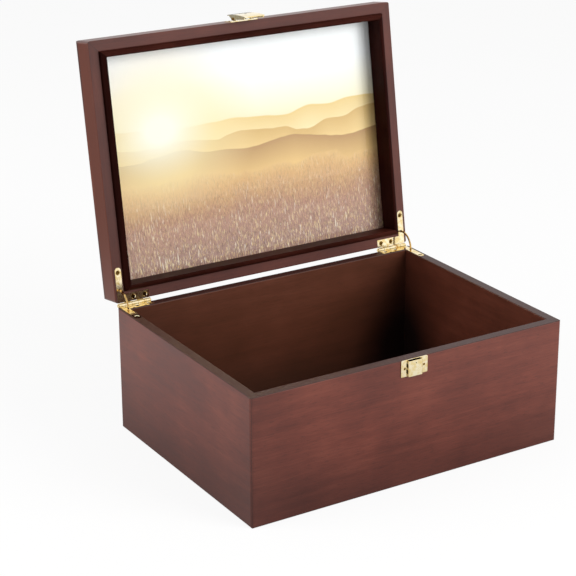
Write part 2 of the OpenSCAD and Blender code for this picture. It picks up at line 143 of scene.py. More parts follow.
@dataclass(frozen=True)
class Placing:
    """How a pattern's own frame lies on the object.

    The pattern is drawn for the shut box, with its middle at centre, in millimetres, and its grain along X.
    """

    centre: tuple[float, float, float]
    grain: Grain = Grain.ACROSS_THE_FRONT
    on_lid: bool = False

    def turn(self) -> Euler:
        """Returns the turn from the object's frame to the pattern's."""
        return Euler((LID_OPEN if self.on_lid else 0.0, 0.0, math.radians(self.grain.value)))

    def shift(self) -> Vector:
        """Returns the shift, in metres, that follows the turn."""
        about_z = Euler((0.0, 0.0, math.radians(self.grain.value))).to_matrix()
        middle = Vector(self.centre) * MM
        return about_z @ (HINGE - middle) - self.turn().to_matrix() @ HINGE

    def lay(self, tree: NodeTree) -> Node:
        """Centres and turns a pattern's frame on its board.

        Args:
            tree: The material's node tree.

        Returns:
            The node of the place in that frame, in metres.
        """
        here = add_node(tree, "ShaderNodeTexCoord").outputs["Object"]
        return add_node(
            tree, "ShaderNodeMapping", {"Vector": here, "Location": self.shift(), "Rotation": self.turn()}
        )


@dataclass(frozen=True)
class InnerStainAndShade:
    """The inner face of a board, browned all over, with painted shade deep in the corners.

    Millimetres in the board's frame say how far across it lies, how far along its corner is, and its top. The
    base is how much it browns all over, partly as a browner stain and partly as painted shade. The painted
    corner shade lies within reach_mm of the corner, and is most deep_mm below the top.
    """

    across_mm: float
    corner_mm: float
    top_mm: float
    base: float
    both_ends: bool = True
    # The brown colour is partly a browner stain and partly painted shade; the dark one is that of the painted
    # corner shade.
    brown: str = "#43301F"
    dark: str = "#140704"
    reach_mm: float = 70.0
    deep_mm: float = 84.0
    pool: float = 1.25


@dataclass(frozen=True)
class StainedWood(Finish):
    """Fine-grained hardwood with a reddish-brown wiped stain under satin lacquer.

    The eye gets a deep red brown with soft cloudy patches, fine long fibres, a few dark pores, and a broad
    pale sheen where the lacquer mirrors the room. Each board darkens toward its edges, outside a middle of
    burst_mm about burst_at_mm. The sanded rim shines less, and its top face is darkened as painted shade. The
    inner face can take a browner stain with painted shade, and the outer skin a warmer stain. Fibres and pores
    are drawn coarser than real ones, so that they show.
    """

    placing: Placing
    deep: str = "#471B12"
    heart: str = "#612B1F"
    pale: str = "#783C2D"
    edge: str = "#2E120C"
    burst_mm: tuple[float, float, float] = (230.0, 0.0, 120.0)
    burst_at_mm: tuple[float, float, float] = (0.0, 0.0, 0.0)
    burst: float = 0.55
    burst_range: tuple[float, float] = (0.05, 0.65)
    # The rim share darkens the rim's top face as painted shade; rim_rough makes it rougher.
    rim_mm: float | None = None
    rim: float = 0.9
    rim_rough: float = 0.12
    specular: float = 0.5
    skin_mm: float | None = None
    skin: float = 0.85
    skin_stain: str = "#5C250E"
    inner: InnerStainAndShade | None = None
    mitre_mm: tuple[float, float] | None = None
    roughness: tuple[float, float] = (0.3, 0.42)
    tones: tuple[float, float, float] = (0.3, 0.5, 0.7)
    cloud_mm: float = 64.0
    cloud_share: float = 0.5
    band_mm: float = 8.0
    band_share: float = 0.27
    fibre_mm: float = 1.1
    fibre_share: float = 0.23
    fibre_stretch: float = 16.0
    pore_mm: float = 0.8
    pore_stretch: float = 7.0
    pore_range: tuple[float, float] = (0.66, 0.74)
    pore_share: float = 0.25
    relief_mm: float = 0.1
    glue: str = "#160806"
    glue_mm: float = 0.22
    glue_share: float = 0.7

    def shader(self, tree: NodeTree) -> Node:
        """Draws the patterns and shades them.

        Args:
            tree: The material's node tree.

        Returns:
            The shader's node.
        """
        board = self.placing.lay(tree)
        x, y, up = add_node(tree, "ShaderNodeSeparateXYZ", {"Vector": board}).outputs
        along, across = (add_node(tree, "ShaderNodeMath", {0: at}, operation="ABSOLUTE") for at in (x, y))
        long, short = (
            add_node(tree, "ShaderNodeMapping", {"Vector": board, "Scale": (1 / stretch, 1.0, 1.0)})
            for stretch in (self.fibre_stretch, self.pore_stretch)
        )
        clouds, bands, fibres, pores = (
            add_node(
                tree,
                "ShaderNodeTexNoise",
                {
                    "Vector": where,
                    "Scale": 1 / (size_mm * MM),
                    "Detail": detail,
                    "Roughness": mixed,
                    "Distortion": bent,
                },
            )
            for where, size_mm, detail, mixed, bent in (
                (board, self.cloud_mm, 3.0, 0.55, 0.0),
                (long, self.band_mm, 3.0, 0.5, 0.5),
                (long, self.fibre_mm, 2.0, 0.5, 0.0),
                (short, self.pore_mm, 0.0, 0.5, 0.0),
            )
        )
        cloudy = add_node(tree, "ShaderNodeMath", {0: clouds, 1: self.cloud_share}, operation="MULTIPLY")
        banded = add_node(
            tree, "ShaderNodeMath", {0: bands, 1: self.band_share, 2: cloudy}, operation="MULTIPLY_ADD"
        )
        tone = add_node(
            tree, "ShaderNodeMath", {0: fibres, 1: self.fibre_share, 2: banded}, operation="MULTIPLY_ADD"
        )
        stain = add_node(
            tree,
            "ShaderNodeValToRGB",
            {"Fac": tone},
            stops=tuple(zip(self.tones, (self.deep, self.heart, self.pale))),
        )
        fewest, most = self.pore_range
        dots = add_node(
            tree,
            "ShaderNodeMapRange",
            {"Value": pores, "From Min": fewest, "From Max": most, "To Max": self.pore_share},
        )
        pored = add_node(tree, "ShaderNodeMix", {0: dots, 6: stain, 7: linear(self.edge)}, data_type="RGBA")
        reach = [1 / (s * MM) if s else 0.0 for s in self.burst_mm]
        shift = [-at * MM * r for at, r in zip(self.burst_at_mm, reach)]
        spread = add_node(tree, "ShaderNodeMapping", {"Vector": board, "Location": shift, "Scale": reach})
        middle = add_node(tree, "ShaderNodeTexGradient", {"Vector": spread}, gradient_type="SPHERICAL")
        outer, inner = self.burst_range
        dusk = add_node(
            tree,
            "ShaderNodeMapRange",
            {"Value": middle, "From Min": outer, "From Max": inner, "To Min": self.burst, "To Max": 0.0},
            interpolation_type="SMOOTHSTEP",
        )
        shaded = add_node(tree, "ShaderNodeMix", {0: dusk, 6: pored, 7: linear(self.edge)}, data_type="RGBA")
        # The inner face gets a browner stain with painted shade, and painted shade deep in its corners.
        if self.inner:
            toward = along if self.inner.both_ends else x
            shaded = self.inner_stain_and_shade(tree, (toward, across, up), shaded)
        # Painted shade on the rim's top face.
        if self.rim_mm is not None:
            shaded = self.face_stain_and_shade(tree, up, self.rim_mm, self.rim, shaded)
        if self.skin_mm is not None:
            shaded = self.face_stain_and_shade(tree, across, self.skin_mm, self.skin, shaded, self.skin_stain)
        if self.mitre_mm:
            shaded = self.joint_line(tree, along, across, shaded)
        darkest, _, lightest = self.tones
        smooth, dull = self.roughness
        gloss = add_node(
            tree,
            "ShaderNodeMapRange",
            {"Value": tone, "From Min": darkest, "From Max": lightest, "To Min": smooth, "To Max": dull},
        )
        if self.rim_mm is not None:
            sanded = add_node(
                tree, "ShaderNodeMath", {0: up, 1: self.rim_mm * MM, 2: FACE_NEAR}, operation="COMPARE"
            )
            gloss = add_node(
                tree, "ShaderNodeMath", {0: sanded, 1: self.rim_rough, 2: gloss}, operation="MULTIPLY_ADD"
            )
        relief = add_node(tree, "ShaderNodeMath", {0: fibres, 1: 0.5, 2: dots}, operation="MULTIPLY_ADD")
        bump = add_node(
            tree, "ShaderNodeBump", {"Height": relief, "Strength": 0.12, "Distance": self.relief_mm * MM}
        )
        return add_node(
            tree,
            "ShaderNodeBsdfPrincipled",
            {
                "Base Color": shaded,
                "Roughness": gloss,
                "Normal": bump,
                "IOR": 1.5,
                "Specular IOR Level": self.specular,
            },
        )

    def face_stain_and_shade(
        self,
        tree: NodeTree,
        place: Source,
        at_mm: float,
        much: float | Node,
        colour: Source,
        stain: str | None = None,
    ) -> Node:
        """Turns one flat face of a board toward another colour: painted shade on the rim, a stain on the outer
        skin, and both on the inner face.

        Args:
            tree: The material's node tree.
            place: The coordinate that is the same all over the face.
            at_mm: Its value on the face.
            much: How much the face darkens.
            colour: The wood's colour.
            stain: What it darkens to, a stain or the painted shade's colour, which is the edge colour if none
                is given.

        Returns:
            The colour with its darker face.
        """
        there = add_node(tree, "ShaderNodeMath", {0: place, 1: at_mm * MM, 2: FACE_NEAR}, operation="COMPARE")
        share = add_node(tree, "ShaderNodeMath", {0: there, 1: much}, operation="MULTIPLY")
        return add_node(
            tree, "ShaderNodeMix", {0: share, 6: colour, 7: linear(stain or self.edge)}, data_type="RGBA"
        )

    def inner_stain_and_shade(self, tree: NodeTree, place: tuple[Source, Source, Source], colour: Source) -> Node:
        """Browns the inner face, partly as a stain and partly as painted shade, and paints shade deep in the
        corners.

        Args:
            tree: The material's node tree.
            place: Place along the board, across it and up it.
            colour: The wood's colour.

        Returns:
            The colour with its darker inner face.
        """
        inner = self.inner
        along, across, up = place
        start = (inner.corner_mm - inner.reach_mm) * MM
        corner = add_node(
            tree,
            "ShaderNodeMapRange",
            {"Value": along, "From Min": start, "From Max": inner.corner_mm * MM},
            interpolation_type="SMOOTHSTEP",
        )
        deep = add_node(
            tree,
            "ShaderNodeMapRange",
            {"Value": up, "From Min": inner.top_mm * MM, "From Max": (inner.top_mm - inner.deep_mm) * MM},
        )
        # Painted corner shade, strongest near the corner and low down.
        corner_shade = add_node(tree, "ShaderNodeMath", {0: corner, 1: deep}, operation="MULTIPLY")
        much = add_node(
            tree, "ShaderNodeMath", {0: corner_shade, 1: inner.pool}, operation="MULTIPLY", use_clamp=True
        )
        # Browns the whole face, partly as stain and partly as painted shade, then adds the painted corner
        # shade.
        browned_and_shaded = self.face_stain_and_shade(tree, across, inner.across_mm, inner.base, colour, inner.brown)
        return self.face_stain_and_shade(tree, across, inner.across_mm, much, browned_and_shaded, inner.dark)

    def joint_line(self, tree: NodeTree, along: Node, across: Node, colour: Source) -> Node:
        """Darkens the fine glue line along the mitres.

        Args:
            tree: The material's node tree.
            along: Distance from the board's middle along it.
            across: Distance from the box's middle across the board.
            colour: The wood's colour.

        Returns:
            The colour with its glue lines.
        """
        length_mm, width_mm = self.mitre_mm
        apart = add_node(tree, "ShaderNodeMath", {0: along, 1: across}, operation="SUBTRACT")
        off = add_node(
            tree,
            "ShaderNodeMath",
            {0: apart, 1: (length_mm - width_mm) * MM, 2: self.glue_mm * MM},
            operation="COMPARE",
        )
        faint = add_node(tree, "ShaderNodeMath", {0: off, 1: self.glue_share}, operation="MULTIPLY")
        return add_node(tree, "ShaderNodeMix", {0: faint, 6: colour, 7: linear(self.glue)}, data_type="RGBA")


@dataclass(frozen=True)
class PlatedBrass(Finish):
    """Pressed sheet brass, tumbled and bright plated.

    The eye gets a pale warm gold that mirrors the room, slightly clouded and faintly rippled from pressing. Its
    creases turn brown, partly from tarnishing and partly as painted shade.
    """

    bright: str = "#FFF0CB"
    dull: str = "#F0D490"
    # The brown that creases turn to, partly tarnishing and partly painted shade.
    tarnish_and_shade: str = "#3B2509"
    crevice_mm: float = 1.1
    crevice_range: tuple[float, float] = (0.35, 0.85)
    roughness: tuple[float, float] = (0.07, 0.15)
    cloud_mm: float = 3.5
    ripple_mm: float = 0.9
    ripple_deep_mm: float = 0.05

    def shader(self, tree: NodeTree) -> Node:
        """Draws the patterns and shades them.

        Args:
            tree: The material's node tree.

        Returns:
            The shader's node.
        """
        here = add_node(tree, "ShaderNodeTexCoord").outputs["Object"]
        clouds = add_node(
            tree, "ShaderNodeTexNoise", {"Vector": here, "Scale": 1 / (self.cloud_mm * MM), "Detail": 3.0}
        )
        tint = add_node(
            tree, "ShaderNodeValToRGB", {"Fac": clouds}, stops=((0.35, self.dull), (0.6, self.bright))
        )
        # Painted shade in creases and hollows, partly tarnishing, found by ambient occlusion.
        open_air = add_node(
            tree, "ShaderNodeAmbientOcclusion", {"Distance": self.crevice_mm * MM}, samples=8, only_local=True
        ).outputs["AO"]
        shut_in, bare = self.crevice_range
        clean = add_node(
            tree, "ShaderNodeMapRange", {"Value": open_air, "From Min": shut_in, "From Max": bare}
        )
        tarnished_and_shaded = add_node(tree, "ShaderNodeMix", {0: clean, 6: linear(self.tarnish_and_shade), 7: tint}, data_type="RGBA")
        smooth, dull = self.roughness
        haze = add_node(
            tree,
            "ShaderNodeMapRange",
            {"Value": clouds, "From Min": 0.3, "From Max": 0.7, "To Min": dull, "To Max": smooth},
        )
        ripple = add_node(
            tree, "ShaderNodeTexNoise", {"Vector": here, "Scale": 1 / (self.ripple_mm * MM), "Detail": 1.0}
        )
        bump = add_node(
            tree, "ShaderNodeBump", {"Height": ripple, "Strength": 0.1, "Distance": self.ripple_deep_mm * MM}
        )
        return add_node(
            tree,
            "ShaderNodeBsdfPrincipled",
            {"Base Color": tarnished_and_shaded, "Metallic": 1.0, "Roughness": haze, "Normal": bump},
        )


@dataclass(frozen=True)
class ClearPane(Finish):
    """Polished clear acrylic sheet.

    The eye gets the print behind it, with a thin clean reflection on the outer face.
    """

    name: str = "clear acrylic sheet"
    clear: str = "#FDFEFE"
    ior: float = 1.49
    smear_mm: float = 45.0
    haze: float = 0.05

    def shader(self, tree: NodeTree) -> Node:
        """Shades the sheet, which lets light through unbent, as a thin flat one does.

        Args:
            tree: The material's node tree.

        Returns:
            The shader's node.
        """
        here = add_node(tree, "ShaderNodeTexCoord").outputs["Object"]
        smears = add_node(
            tree, "ShaderNodeTexNoise", {"Vector": here, "Scale": 1 / (self.smear_mm * MM), "Detail": 2.0}
        )
        haze = add_node(
            tree,
            "ShaderNodeMapRange",
            {"Value": smears, "From Min": 0.4, "From Max": 0.8, "To Max": self.haze},
        )
        mirrored = add_node(tree, "ShaderNodeFresnel", {"IOR": self.ior})
        inside = add_node(tree, "ShaderNodeNewGeometry").outputs["Backfacing"]
        outside = add_node(tree, "ShaderNodeMath", {0: 1.0, 1: inside}, operation="SUBTRACT")
        share = add_node(tree, "ShaderNodeMath", {0: mirrored, 1: outside}, operation="MULTIPLY")
        clear = add_node(tree, "ShaderNodeBsdfTransparent", {"Color": linear(self.clear)})
        shine = add_node(tree, "ShaderNodeBsdfAnisotropic", {"Roughness": haze})
        return add_node(tree, "ShaderNodeMixShader", {0: share, 1: clear, 2: shine})


@dataclass(frozen=True)
class Ridge:
    """One line of hills in the print.

    Sizes are millimetres on the print: the height of its crest above the middle, how much the crest swells, how
    far its swells lie apart, how far down the crest's colour fades to the foot's, and how soft the crest is.
    """

    crest_mm: float
    swell_mm: float
    apart_mm: float
    seed: float
    crest: str
    foot: str
    fade_mm: float
    soft_mm: float
    detail: float = 3.0


@dataclass(frozen=True)
class Blades:
    """One set of grass blades in the print: height, width, lean, how few there are, colour and weight."""

    tall_mm: float
    thin_mm: float
    lean_deg: float
    fewest: float
    colour: str
    weight: float


@dataclass(frozen=True)
class ValleyPrint(Finish):
    """Satin photo paper with a generic printed valley: hills in evening haze over a grass meadow.

    The eye gets a warm white sky, pale gold hills one behind another, and a mauve-brown meadow with bright
    blades. The blades are coarser than printed grass, so that they show.
    """

    name: str = "satin paper print"
    centre_mm: tuple[float, float, float] = (0.0, 0.0, 124.0)
    top_mm: float = 96.6
    sun_mm: tuple[float, float] = (-84.0, 26.0)
    haze_mm: float = 98.0
    haze_flat: float = 1.25
    haze_share: float = 1.15
    ridges: tuple[Ridge, ...] = (
        Ridge(27.0, 26.0, 88.0, 3.1, "#F0D08E", "#FCE8B6", 22.0, 1.2, detail=2.0),
        Ridge(13.0, 24.0, 70.0, 11.7, "#DDB675", "#F8D898", 22.0, 0.9),
        Ridge(1.0, 20.0, 95.0, 25.3, "#BF9462", "#EDC684", 24.0, 0.6, detail=4.0),
    )
    patch_mm: float = 38.0
    sway_mm: float = 30.0
    far_mm: float = 8.0
    near_mm: float = -78.0
    hem_mm: tuple[float, float] = (-2.0, -6.0)
    blades: tuple[Blades, ...] = (
        Blades(3.2, 0.8, 24.0, 0.54, "#8A6650", 0.75),
        Blades(3.6, 0.8, -28.0, 0.57, "#EBCB8C", 0.7),
        Blades(6.0, 1.0, -14.0, 0.57, "#6E5144", 0.6),
        Blades(7.0, 0.9, 12.0, 0.6, "#F8E3AE", 0.8),
        Blades(9.0, 1.0, -6.0, 0.62, "#FFF6E0", 0.85),
    )

    def shader(self, tree: NodeTree) -> Node:
        """Draws the patterns and shades them.

        Args:
            tree: The material's node tree.

        Returns:
            The shader's node.
        """
        here = add_node(tree, "ShaderNodeTexCoord").outputs["Object"]
        turn = Euler((LID_OPEN - math.pi, 0.0, 0.0))
        middle = Matrix.Rotation(-LID_OPEN, 3, "X") @ (Vector(self.centre_mm) * MM - HINGE) + HINGE
        spot = add_node(
            tree,
            "ShaderNodeMapping",
            {"Vector": here, "Location": -(turn.to_matrix() @ middle), "Rotation": turn},
        )
        level, up, _ = add_node(tree, "ShaderNodeSeparateXYZ", {"Vector": spot}).outputs
        height = add_node(tree, "ShaderNodeMapRange", {"Value": up, "From Max": self.top_mm * MM})
        colour = add_node(
            tree,
            "ShaderNodeValToRGB",
            {"Fac": height},
            stops=((0.0, "#FBE0A2"), (0.35, "#FEF5DA"), (0.7, "#FFFFFF")),
        )
        for ridge in self.ridges:
            colour = self.hills(tree, level, up, ridge, colour)
        colour = self.meadow(tree, spot, up, colour)
        glow = self.glow(tree, spot)
        warm = add_node(
            tree,
            "ShaderNodeValToRGB",
            {"Fac": glow},
            stops=((0.0, "#FEE0A8"), (0.5, "#FFEBB4"), (1.0, "#FFFBEA")),
        )
        lit = add_node(tree, "ShaderNodeMix", {0: glow, 6: colour, 7: warm}, data_type="RGBA")
        return add_node(tree, "ShaderNodeBsdfPrincipled", {"Base Color": lit, "Roughness": 0.45})

    def hills(self, tree: NodeTree, level: NodeSocket, up: NodeSocket, ridge: Ridge, behind: Source) -> Node:
        """Draws one line of hills before what is behind it.

        Args:
            tree: The material's node tree.
            level: Distance to the right of the print's middle.
            up: Height above the print's middle.
            ridge: The line of hills.
            behind: The colour behind it.

        Returns:
            The colour with the hills in front.
        """
        soft = ridge.soft_mm * MM / 2
        along = add_node(
            tree,
            "ShaderNodeMath",
            {0: level, 1: 1 / (ridge.apart_mm * MM), 2: ridge.seed},
            operation="MULTIPLY_ADD",
        )
        swell = add_node(
            tree,
            "ShaderNodeTexNoise",
            {"W": along, "Scale": 1.0, "Detail": ridge.detail, "Roughness": 0.42},
            noise_dimensions="1D",
        )
        crest = add_node(
            tree,
            "ShaderNodeMath",
            {0: swell, 1: ridge.swell_mm * MM, 2: (ridge.crest_mm - ridge.swell_mm / 2) * MM},
            operation="MULTIPLY_ADD",
        )
        depth = add_node(tree, "ShaderNodeMath", {0: crest, 1: up}, operation="SUBTRACT")
        mask = add_node(
            tree,
            "ShaderNodeMapRange",
            {"Value": depth, "From Min": -soft, "From Max": soft},
            interpolation_type="SMOOTHSTEP",
        )
        haze = add_node(tree, "ShaderNodeMapRange", {"Value": depth, "From Max": ridge.fade_mm * MM})
        slope = add_node(
            tree, "ShaderNodeValToRGB", {"Fac": haze}, stops=((0.0, ridge.crest), (1.0, ridge.foot))
        )
        return add_node(tree, "ShaderNodeMix", {0: mask, 6: behind, 7: slope}, data_type="RGBA")

    def meadow(self, tree: NodeTree, spot: Node, up: NodeSocket, behind: Source) -> Node:
        """Draws the meadow, with fine grass far off and tall blades in front.

        Args:
            tree: The material's node tree.
            spot: The place in the print's frame.
            up: Height above the print's middle.
            behind: The colour behind it.

        Returns:
            The colour with the meadow in front.
        """
        patches = add_node(
            tree, "ShaderNodeTexNoise", {"Vector": spot, "Scale": 1 / (self.patch_mm * MM), "Detail": 4.0}
        )
        wavy = add_node(
            tree, "ShaderNodeMath", {0: patches, 1: self.sway_mm * MM, 2: up}, operation="MULTIPLY_ADD"
        )
        nearness = add_node(
            tree,
            "ShaderNodeMapRange",
            {"Value": wavy, "From Min": self.far_mm * MM, "From Max": self.near_mm * MM},
        )
        colour = add_node(
            tree,
            "ShaderNodeValToRGB",
            {"Fac": nearness},
            stops=((0.0, "#F2D08C"), (0.26, "#E0B27A"), (0.6, "#BF917C"), (1.0, "#AA8379")),
        )
        for blades in self.blades:
            # The shift is far enough that no two sets fall together.
            lean = add_node(
                tree,
                "ShaderNodeMapping",
                {
                    "Vector": spot,
                    "Location": (blades.tall_mm, 0.0, 0.0),
                    "Rotation": (0.0, 0.0, math.radians(blades.lean_deg)),
                    "Scale": (1.0, blades.thin_mm / blades.tall_mm, 1.0),
                },
            )
            streaks = add_node(
                tree,
                "ShaderNodeTexNoise",
                {"Vector": lean, "Scale": 1 / (blades.thin_mm * MM), "Detail": 2.0, "Distortion": 0.6},
            )
            shown = add_node(
                tree,
                "ShaderNodeMapRange",
                {
                    "Value": streaks,
                    "From Min": blades.fewest,
                    "From Max": blades.fewest + 0.07,
                    "To Max": blades.weight,
                },
            )
            rising = add_node(tree, "ShaderNodeMath", {0: shown, 1: nearness}, operation="MULTIPLY")
            colour = add_node(
                tree, "ShaderNodeMix", {0: rising, 6: colour, 7: linear(blades.colour)}, data_type="RGBA"
            )
        hem = add_node(
            tree,
            "ShaderNodeMapRange",
            {"Value": wavy, "From Min": self.hem_mm[0] * MM, "From Max": self.hem_mm[1] * MM},
            interpolation_type="SMOOTHSTEP",
        )
        return add_node(tree, "ShaderNodeMix", {0: hem, 6: behind, 7: colour}, data_type="RGBA")

    def glow(self, tree: NodeTree, spot: Node) -> Node:
        """Draws the low sun's haze, which lies over everything near it.

        Args:
            tree: The material's node tree.
            spot: The place in the print's frame.

        Returns:
            The haze's share, from 0 to 1.
        """
        reach = 1 / (self.haze_mm * MM)
        right, above = (at * MM for at in self.sun_mm)
        about = add_node(
            tree,
            "ShaderNodeMapping",
            {
                "Vector": spot,
                "Location": (-right * reach, -above * reach * self.haze_flat, 0.0),
                "Scale": (reach, reach * self.haze_flat, 0.0),
            },
        )
        near = add_node(tree, "ShaderNodeTexGradient", {"Vector": about}, gradient_type="SPHERICAL")
        return add_node(
            tree, "ShaderNodeMath", {0: near, 1: self.haze_share}, operation="MULTIPLY", use_clamp=True
        )


@dataclass(frozen=True)
class FineGrain(Finish):
    """A finish whose one fine grain shifts its colour and its gloss."""

    tints: tuple[tuple[float, str], ...]
    grain_mm: float
    detail: float
    roughness: tuple[float, float]
    metallic: float = 0.0
    stretch: float = 1.0
    placing: Placing = Placing((0.0, 0.0, 0.0))

    def shader(self, tree: NodeTree) -> Node:
        """Draws the patterns and shades them.

        Args:
            tree: The material's node tree.

        Returns:
            The shader's node.
        """
        board = self.placing.lay(tree)
        long = add_node(tree, "ShaderNodeMapping", {"Vector": board, "Scale": (1 / self.stretch, 1.0, 1.0)})
        grain = add_node(
            tree,
            "ShaderNodeTexNoise",
            {"Vector": long, "Scale": 1 / (self.grain_mm * MM), "Detail": self.detail},
        )
        tint = add_node(tree, "ShaderNodeValToRGB", {"Fac": grain}, stops=self.tints)
        smooth, dull = self.roughness
        haze = add_node(tree, "ShaderNodeMapRange", {"Value": grain, "To Min": smooth, "To Max": dull})
        return add_node(
            tree,
            "ShaderNodeBsdfPrincipled",
            {"Base Color": tint, "Metallic": self.metallic, "Roughness": haze},
        )


# Pulped cardboard, rolled flat. The eye gets a dull brown grey with short fibres.
BACKING_BOARD = FineGrain(
    "pulped backing board", ((0.35, "#5A463A"), (0.65, "#7A6455")), 1.4, 5.0, (0.85, 0.85)
)
# Drawn spring wire. The eye gets a grey steel with bright draw lines, coarser than real ones so that they show.
SPRING_WIRE = FineGrain(
    "drawn spring wire", ((0.35, "#A8A7A2"), (0.65, "#CFCFCA")), 0.3, 2.0, (0.22, 0.4), metallic=1.0
)
# Pale wood, bare where the leaf ornament is burnt out of the stain. The eye gets a matt cream gold with faint
# fibres, coarser than real ones so that they show.
BARE_WOOD = FineGrain(
    "bare pale wood",
    ((0.35, "#D9B27C"), (0.6, "#EFD2A2")),
    1.0,
    3.0,
    (0.6, 0.6),
    stretch=10.0,
    placing=Placing((0.0, 0.0, 135.0), on_lid=True),
)


def dress(names: tuple[str, ...], finish: Finish) -> None:
    """Finishes CAD nodes and reports each.

    Args:
        names: The nodes' names.
        finish: What they are made of.
    """
    material = finish.material()
    for name in names:
        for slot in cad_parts[name].material_slots:
            slot.material = material
        log.info("%s: %s", name, material.name)


@dataclass
class BoxBody:
    """The body: four mitred boards and the bottom panel.

    Sizes are half its width and depth, the height of the grain's middle, the rim's height, and the boards'
    thickness.
    """

    half_mm: tuple[float, float] = (150.0, 111.0)
    middle_mm: float = 66.0
    rim_mm: float = 110.0
    wall_mm: float = 9.0

    def dress(self) -> None:
        """Stains the boards, each along its own grain, with painted shade on the rims and the inner faces."""
        across, back = self.half_mm
        centre = (0.0, 0.0, self.middle_mm)
        rim = self.rim_mm - self.middle_mm
        dress(
            ("body_front", "body_rear"),
            StainedWood(
                "stained board across the front",
                Placing(centre),
                mitre_mm=(across, back),
                burst_mm=(300.0, 0.0, 108.0),
                burst_at_mm=(35.0, 0.0, 24.0),
                rim_mm=rim,
                inner=InnerStainAndShade(back - self.wall_mm, across - self.wall_mm, rim, 0.5),
            ),
        )
        dress(
            ("body_left", "body_right"),
            StainedWood(
                "stained board from front to back",
                Placing(centre, Grain.FRONT_TO_BACK),
                mitre_mm=(back, across),
                burst_mm=(250.0, 0.0, 104.0),
                burst_at_mm=(10.0, 0.0, 30.0),
                rim_mm=rim,
                inner=InnerStainAndShade(across - self.wall_mm, back - self.wall_mm, rim, 0.3, both_ends=False),
            ),
        )
        dress(
            ("body_bottom",),
            StainedWood(
                "stained bottom panel",
                Placing((0.0, 0.0, 2.5)),
                burst_mm=(200.0, 150.0, 0.0),
                burst=0.9,
            ),
        )


@dataclass
class FramedLid:
    """The lid: rails, top board, lip boards, and the picture behind its pane.

    Sizes are those of the shut lid: half its width and depth, the height of the grain's middle, and that of
    its rim.
    """

    half_mm: tuple[float, float] = (150.0, 111.0)
    middle_mm: float = 120.0
    rim_mm: float = 110.5

    def dress(self) -> None:
        """Stains the lid's wood, with painted shade on the rim and the lip boards, and finishes the framed
        picture.
        """
        across, back = self.half_mm
        centre = (0.0, 0.0, self.middle_mm)
        # The rails' rim share darkens their rim as painted shade.
        rail = {"rim_mm": self.rim_mm - self.middle_mm, "rim": 0.4}
        matt = {"specular": 0.02}
        # The lip boards' near-black colours are painted shade of the deep recess, the side lips painted darker
        # than the cross lips.
        cross_lip_shaded = {"deep": "#230D08", "heart": "#361610", "pale": "#462119", "edge": "#180705"} | matt
        side_lip_shaded = {"deep": "#190605", "heart": "#260C08", "pale": "#34120C", "edge": "#120504"} | matt
        for part, label, cross, side in (
            ("lid", "rail", rail, rail),
            ("lip", "lip board", cross_lip_shaded, side_lip_shaded),
        ):
            dress(
                (f"{part}_front", f"{part}_rear"),
                StainedWood(
                    f"stained {label} across the front",
                    Placing(centre, on_lid=True),
                    mitre_mm=(across, back),
                    burst_mm=(330.0, 330.0, 0.0),
                    burst_at_mm=(60.0, -40.0, 0.0),
                    **cross,
                ),
            )
            dress(
                (f"{part}_left", f"{part}_right"),
                StainedWood(
                    f"stained {label} from front to back",
                    Placing(centre, Grain.FRONT_TO_BACK, on_lid=True),
                    mitre_mm=(back, across),
                    burst_mm=(330.0, 330.0, 0.0),
                    burst_at_mm=(-40.0, -60.0, 0.0),
                    skin_mm=across,
                    **side,
                ),
            )
        dress(
            ("lid_top",),
            StainedWood(
                "stained top board",
                Placing((0.0, 0.0, 132.0), on_lid=True),
                deep="#4C1C0E",
                heart="#7A341A",
                pale="#97471F",
                burst_mm=(215.0, 165.0, 0.0),
                burst=0.8,
            ),
        )
        dress(("pane",), ClearPane())
        dress(("print",), ValleyPrint())
        dress(("backing_board",), BACKING_BOARD)


